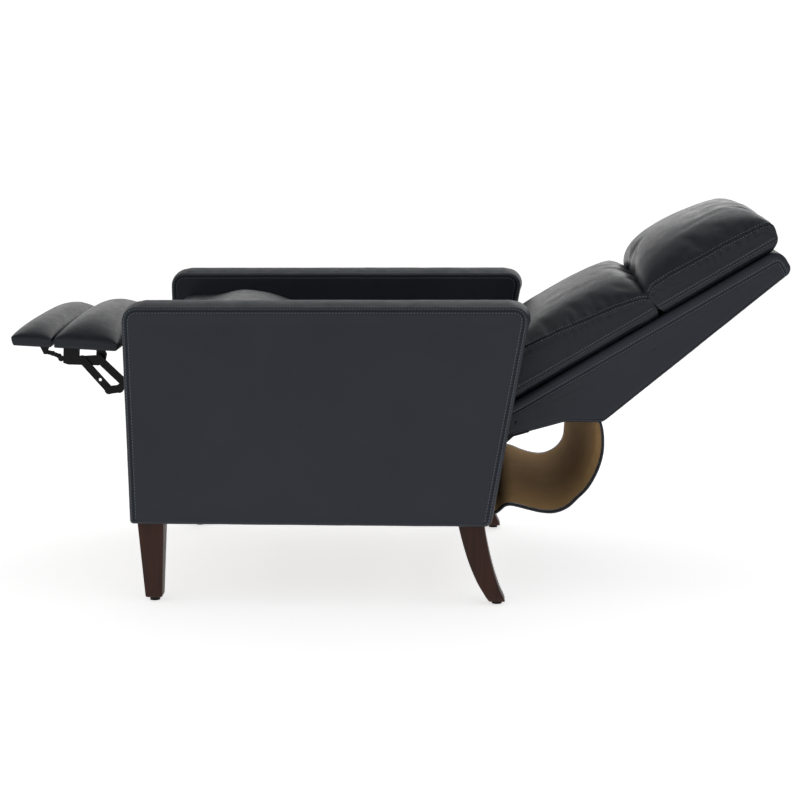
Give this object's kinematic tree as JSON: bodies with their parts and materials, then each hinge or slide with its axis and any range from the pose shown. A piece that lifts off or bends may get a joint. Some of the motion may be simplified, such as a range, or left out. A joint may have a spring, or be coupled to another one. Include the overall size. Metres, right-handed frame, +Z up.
{
  "type": "recliner armchair",
  "caption": "Push-back recliner armchair with padded arms on wooden legs, reclining back with hanging rear flap and a fold-out footrest with a flip pad.",
  "frame": {"origin": "on the floor, under the middle of the fully reclined chair's length", "axes": "+Z up, the chair faces -Y, +X is the sitter's left"},
  "size_m": [0.762, 1.6385, 0.8258],
  "materials": {
    "leather_charcoal": "soft semi-aniline sheen, fine grain",
    "flap_leather": "dark outside, tan suede lining inside",
    "walnut_legs": "dark walnut stain, satin",
    "zinc_steel": "zinc plated",
    "spring_steel": "oiled wire",
    "deck_cloth": "woven decking",
    "black_board": "board under black dust cloth",
    "frame_wood": "raw hardwood and ply",
    "black_steel": "black satin paint"
  },
  "bodies": {
    "base": {"arm_frame_left": "frame_wood", "arm_frame_right": "frame_wood", "arm_cover_left": "leather_charcoal", "arm_cover_right": "leather_charcoal", "leg_front_left": "walnut_legs", "leg_front_right": "walnut_legs", "leg_rear_left": "walnut_legs", "leg_rear_right": "walnut_legs", "leg_glides": "zinc_steel", "leg_bolts": "zinc_steel", "rail_front": "frame_wood", "rail_rear": "frame_wood", "rear_board": "black_board", "base_tube": "black_steel", "base_plate_left": "black_steel", "base_plate_right": "black_steel", "pivot_pins": "zinc_steel", "drop_flap": "flap_leather"},
    "seat": {"seat_plate_left": "black_steel", "seat_plate_right": "black_steel", "seat_rail_front": "frame_wood", "seat_rail_mid": "frame_wood", "seat_rail_rear": "frame_wood", "seat_rail_left": "frame_wood", "seat_rail_right": "frame_wood", "seat_springs": "spring_steel", "seat_deck": "deck_cloth", "seat_cushion": "leather_charcoal", "link_pins": "zinc_steel"},
    "back": {"back_shell": "leather_charcoal", "back_post_left": "frame_wood", "back_post_right": "frame_wood", "back_rail_top": "frame_wood", "back_rail_bottom": "frame_wood", "back_cushion_lower": "leather_charcoal", "back_cushion_head": "leather_charcoal", "back_bracket_left": "black_steel", "back_bracket_right": "black_steel"},
    "long_links": {"long_link_left": "black_steel", "long_link_right": "black_steel", "fold_tube": "black_steel"},
    "cross_links": {"cross_link_left": "black_steel", "cross_link_right": "black_steel"},
    "guide_links": {"guide_link_left": "black_steel", "guide_link_right": "black_steel"},
    "knee_links": {"knee_link_left": "black_steel", "knee_link_right": "black_steel"},
    "footrest": {"foot_bracket_left": "black_steel", "foot_bracket_right": "black_steel", "foot_board": "frame_wood", "foot_pad": "leather_charcoal"},
    "flip": {"flip_board": "frame_wood", "flip_pad": "leather_charcoal", "flip_hinge": "black_steel"},
    "flip_cranks": {"flip_crank_left": "black_steel", "flip_crank_right": "black_steel"},
    "flip_links": {"flip_link_left": "black_steel", "flip_link_right": "black_steel"}
  },
  "joints": [
    {"name": "back_recline", "type": "hinge", "parent": "base", "child": "back", "pos_m": [0, 0.176, 0.202], "axis": [1, 0, 0], "range_deg": [0, 40.6], "deforming": ["drop_flap"]},
    {"name": "seat_tilt", "type": "hinge", "parent": "base", "child": "seat", "pos_m": [0, 0.08, 0.38], "axis": [1, 0, 0], "range_deg": [0, 10.01]},
    {"name": "footrest_fold", "type": "hinge", "parent": "seat", "child": "long_links", "pos_m": [0, -0.4821, 0.498], "axis": [1, 0, 0], "range_deg": [0, 91.69]},
    {"name": "cross_link_turn", "type": "hinge", "parent": "long_links", "child": "cross_links", "pos_m": [0, -0.5791, 0.4525], "axis": [1, 0, 0], "range_deg": [-97.16, 0]},
    {"name": "knee_turn", "type": "hinge", "parent": "long_links", "child": "knee_links", "pos_m": [0, -0.6145, 0.437], "axis": [1, 0, 0], "range_deg": [-81.81, 0]},
    {"name": "bracket_turn", "type": "hinge", "parent": "cross_links", "child": "footrest", "pos_m": [0, -0.6335, 0.505], "axis": [1, 0, 0], "range_deg": [0, 88.47]},
    {"name": "guide_turn", "type": "hinge", "parent": "seat", "child": "guide_links", "pos_m": [0, -0.4646, 0.4482], "axis": [1, 0, 0], "range_deg": [0, 113.42]},
    {"name": "flip_fold", "type": "hinge", "parent": "footrest", "child": "flip", "pos_m": [0, -0.73071, 0.526], "axis": [1, 0, 0], "range_deg": [0, 90.02]},
    {"name": "flip_crank_turn", "type": "hinge", "parent": "footrest", "child": "flip_cranks", "pos_m": [0, -0.70147, 0.50304], "axis": [1, 0, 0], "range_deg": [0, 150.62]},
    {"name": "flip_link_turn", "type": "hinge", "parent": "flip", "child": "flip_links", "pos_m": [0, -0.7522, 0.51712], "axis": [1, 0, 0], "range_deg": [-83.02, 0]}
  ],
  "couplings": [
    {"joint": "seat_tilt", "follows": "back_recline", "ratio": 0.2463},
    {"joint": "cross_link_turn", "follows": "footrest_fold", "ratio": -1.0594},
    {"joint": "knee_turn", "follows": "footrest_fold", "ratio": -0.89204},
    {"joint": "bracket_turn", "follows": "footrest_fold", "ratio": 0.96463},
    {"joint": "guide_turn", "follows": "footrest_fold", "ratio": 1.2368},
    {"joint": "flip_fold", "follows": "footrest_fold", "ratio": 0.98157},
    {"joint": "flip_crank_turn", "follows": "footrest_fold", "ratio": 1.6425},
    {"joint": "flip_link_turn", "follows": "footrest_fold", "ratio": -0.90522}
  ]
}
